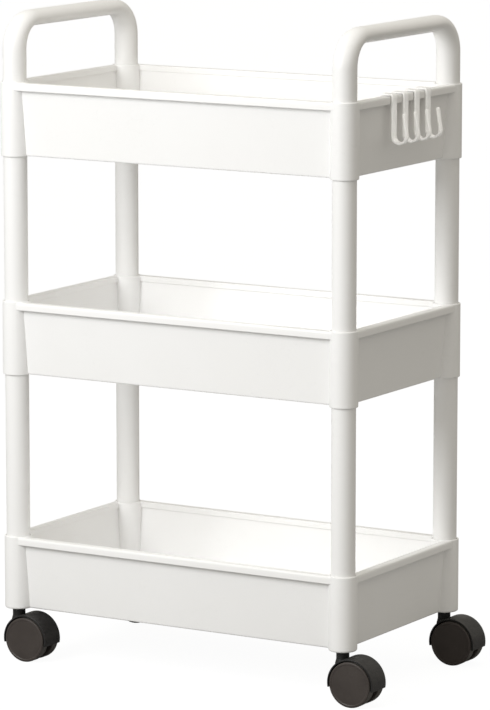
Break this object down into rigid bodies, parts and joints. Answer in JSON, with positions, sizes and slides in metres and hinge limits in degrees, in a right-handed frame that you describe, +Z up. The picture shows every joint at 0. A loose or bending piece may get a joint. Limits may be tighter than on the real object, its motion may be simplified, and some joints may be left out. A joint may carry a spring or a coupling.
{
  "type": "rolling pantry cart",
  "caption": "Slim three-tier plastic utility cart on swivel twin-wheel casters, with tube posts, end push handles and clip-on hooks along the top tray's rim.",
  "frame": {"origin": "on the floor under the middle of the cart's outer box", "axes": "+Z up, +X along the trays towards the hook end, -Y towards the front long side"},
  "size_m": [0.4612, 0.2518, 0.7007],
  "materials": {
    "white_plastic": "satin",
    "hook_plastic": "satin",
    "hood_plastic": "satin black moulded",
    "wheel_plastic": "satin charcoal",
    "sleeve_plastic": "natural nylon",
    "steel": "zinc plated"
  },
  "bodies": {
    "frame": {"tray_bottom": "white_plastic", "tray_middle": "white_plastic", "tray_top": "white_plastic", "lower_post_front_left": "white_plastic", "lower_post_front_right": "white_plastic", "lower_post_rear_left": "white_plastic", "lower_post_rear_right": "white_plastic", "upper_post_front_left": "white_plastic", "upper_post_front_right": "white_plastic", "upper_post_rear_left": "white_plastic", "upper_post_rear_right": "white_plastic", "handle_left": "white_plastic", "handle_right": "white_plastic", "socket_front_left": "sleeve_plastic", "grip_ring_front_left": "steel", "socket_front_right": "sleeve_plastic", "grip_ring_front_right": "steel", "socket_rear_left": "sleeve_plastic", "grip_ring_rear_left": "steel", "socket_rear_right": "sleeve_plastic", "grip_ring_rear_right": "steel"},
    "caster_front_left": {"stem_front_left": "steel", "housing_front_left": "hood_plastic", "axle_front_left": "steel"},
    "wheel_front_left_a": {"wheel_front_left_a": "wheel_plastic"},
    "wheel_front_left_b": {"wheel_front_left_b": "wheel_plastic"},
    "caster_front_right": {"stem_front_right": "steel", "housing_front_right": "hood_plastic", "axle_front_right": "steel"},
    "wheel_front_right_a": {"wheel_front_right_a": "wheel_plastic"},
    "wheel_front_right_b": {"wheel_front_right_b": "wheel_plastic"},
    "caster_rear_left": {"stem_rear_left": "steel", "housing_rear_left": "hood_plastic", "axle_rear_left": "steel"},
    "wheel_rear_left_a": {"wheel_rear_left_a": "wheel_plastic"},
    "wheel_rear_left_b": {"wheel_rear_left_b": "wheel_plastic"},
    "caster_rear_right": {"stem_rear_right": "steel", "housing_rear_right": "hood_plastic", "axle_rear_right": "steel"},
    "wheel_rear_right_a": {"wheel_rear_right_a": "wheel_plastic"},
    "wheel_rear_right_b": {"wheel_rear_right_b": "wheel_plastic"},
    "hook_1": {"hook_1": "hook_plastic"},
    "hook_2": {"hook_2": "hook_plastic"},
    "hook_3": {"hook_3": "hook_plastic"},
    "hook_4": {"hook_4": "hook_plastic"}
  },
  "joints": [
    {"name": "swivel_front_left", "type": "hinge", "parent": "frame", "child": "caster_front_left", "pos_m": [-0.2157, -0.1103, 0.05631], "axis": [0, 0, 1], "continuous": true},
    {"name": "spin_front_left_a", "type": "hinge", "parent": "caster_front_left", "child": "wheel_front_left_a", "pos_m": [-0.1994, -0.12085, 0.0241], "axis": [0, 1, 0], "continuous": true},
    {"name": "spin_front_left_b", "type": "hinge", "parent": "caster_front_left", "child": "wheel_front_left_b", "pos_m": [-0.1994, -0.09975, 0.0241], "axis": [0, 1, 0], "continuous": true},
    {"name": "swivel_front_right", "type": "hinge", "parent": "frame", "child": "caster_front_right", "pos_m": [0.1873, -0.1103, 0.05631], "axis": [0, 0, 1], "continuous": true},
    {"name": "spin_front_right_a", "type": "hinge", "parent": "caster_front_right", "child": "wheel_front_right_a", "pos_m": [0.2036, -0.12085, 0.0241], "axis": [0, 1, 0], "continuous": true},
    {"name": "spin_front_right_b", "type": "hinge", "parent": "caster_front_right", "child": "wheel_front_right_b", "pos_m": [0.2036, -0.09975, 0.0241], "axis": [0, 1, 0], "continuous": true},
    {"name": "swivel_rear_left", "type": "hinge", "parent": "frame", "child": "caster_rear_left", "pos_m": [-0.2157, 0.1103, 0.05631], "axis": [0, 0, 1], "continuous": true},
    {"name": "spin_rear_left_a", "type": "hinge", "parent": "caster_rear_left", "child": "wheel_rear_left_a", "pos_m": [-0.1994, 0.09975, 0.0241], "axis": [0, 1, 0], "continuous": true},
    {"name": "spin_rear_left_b", "type": "hinge", "parent": "caster_rear_left", "child": "wheel_rear_left_b", "pos_m": [-0.1994, 0.12085, 0.0241], "axis": [0, 1, 0], "continuous": true},
    {"name": "swivel_rear_right", "type": "hinge", "parent": "frame", "child": "caster_rear_right", "pos_m": [0.1873, 0.1103, 0.05631], "axis": [0, 0, 1], "continuous": true},
    {"name": "spin_rear_right_a", "type": "hinge", "parent": "caster_rear_right", "child": "wheel_rear_right_a", "pos_m": [0.2036, 0.09975, 0.0241], "axis": [0, 1, 0], "continuous": true},
    {"name": "spin_rear_right_b", "type": "hinge", "parent": "caster_rear_right", "child": "wheel_rear_right_b", "pos_m": [0.2036, 0.12085, 0.0241], "axis": [0, 1, 0], "continuous": true},
    {"name": "slide_hook_1", "type": "slide", "parent": "frame", "child": "hook_1", "axis": [0, 1, 0], "range_m": [-0.055, 0.007]},
    {"name": "slide_hook_2", "type": "slide", "parent": "frame", "child": "hook_2", "axis": [0, 1, 0], "range_m": [-0.007, 0.007]},
    {"name": "slide_hook_3", "type": "slide", "parent": "frame", "child": "hook_3", "axis": [0, 1, 0], "range_m": [-0.007, 0.007]},
    {"name": "slide_hook_4", "type": "slide", "parent": "frame", "child": "hook_4", "axis": [0, 1, 0], "range_m": [-0.007, 0.049]}
  ]
}
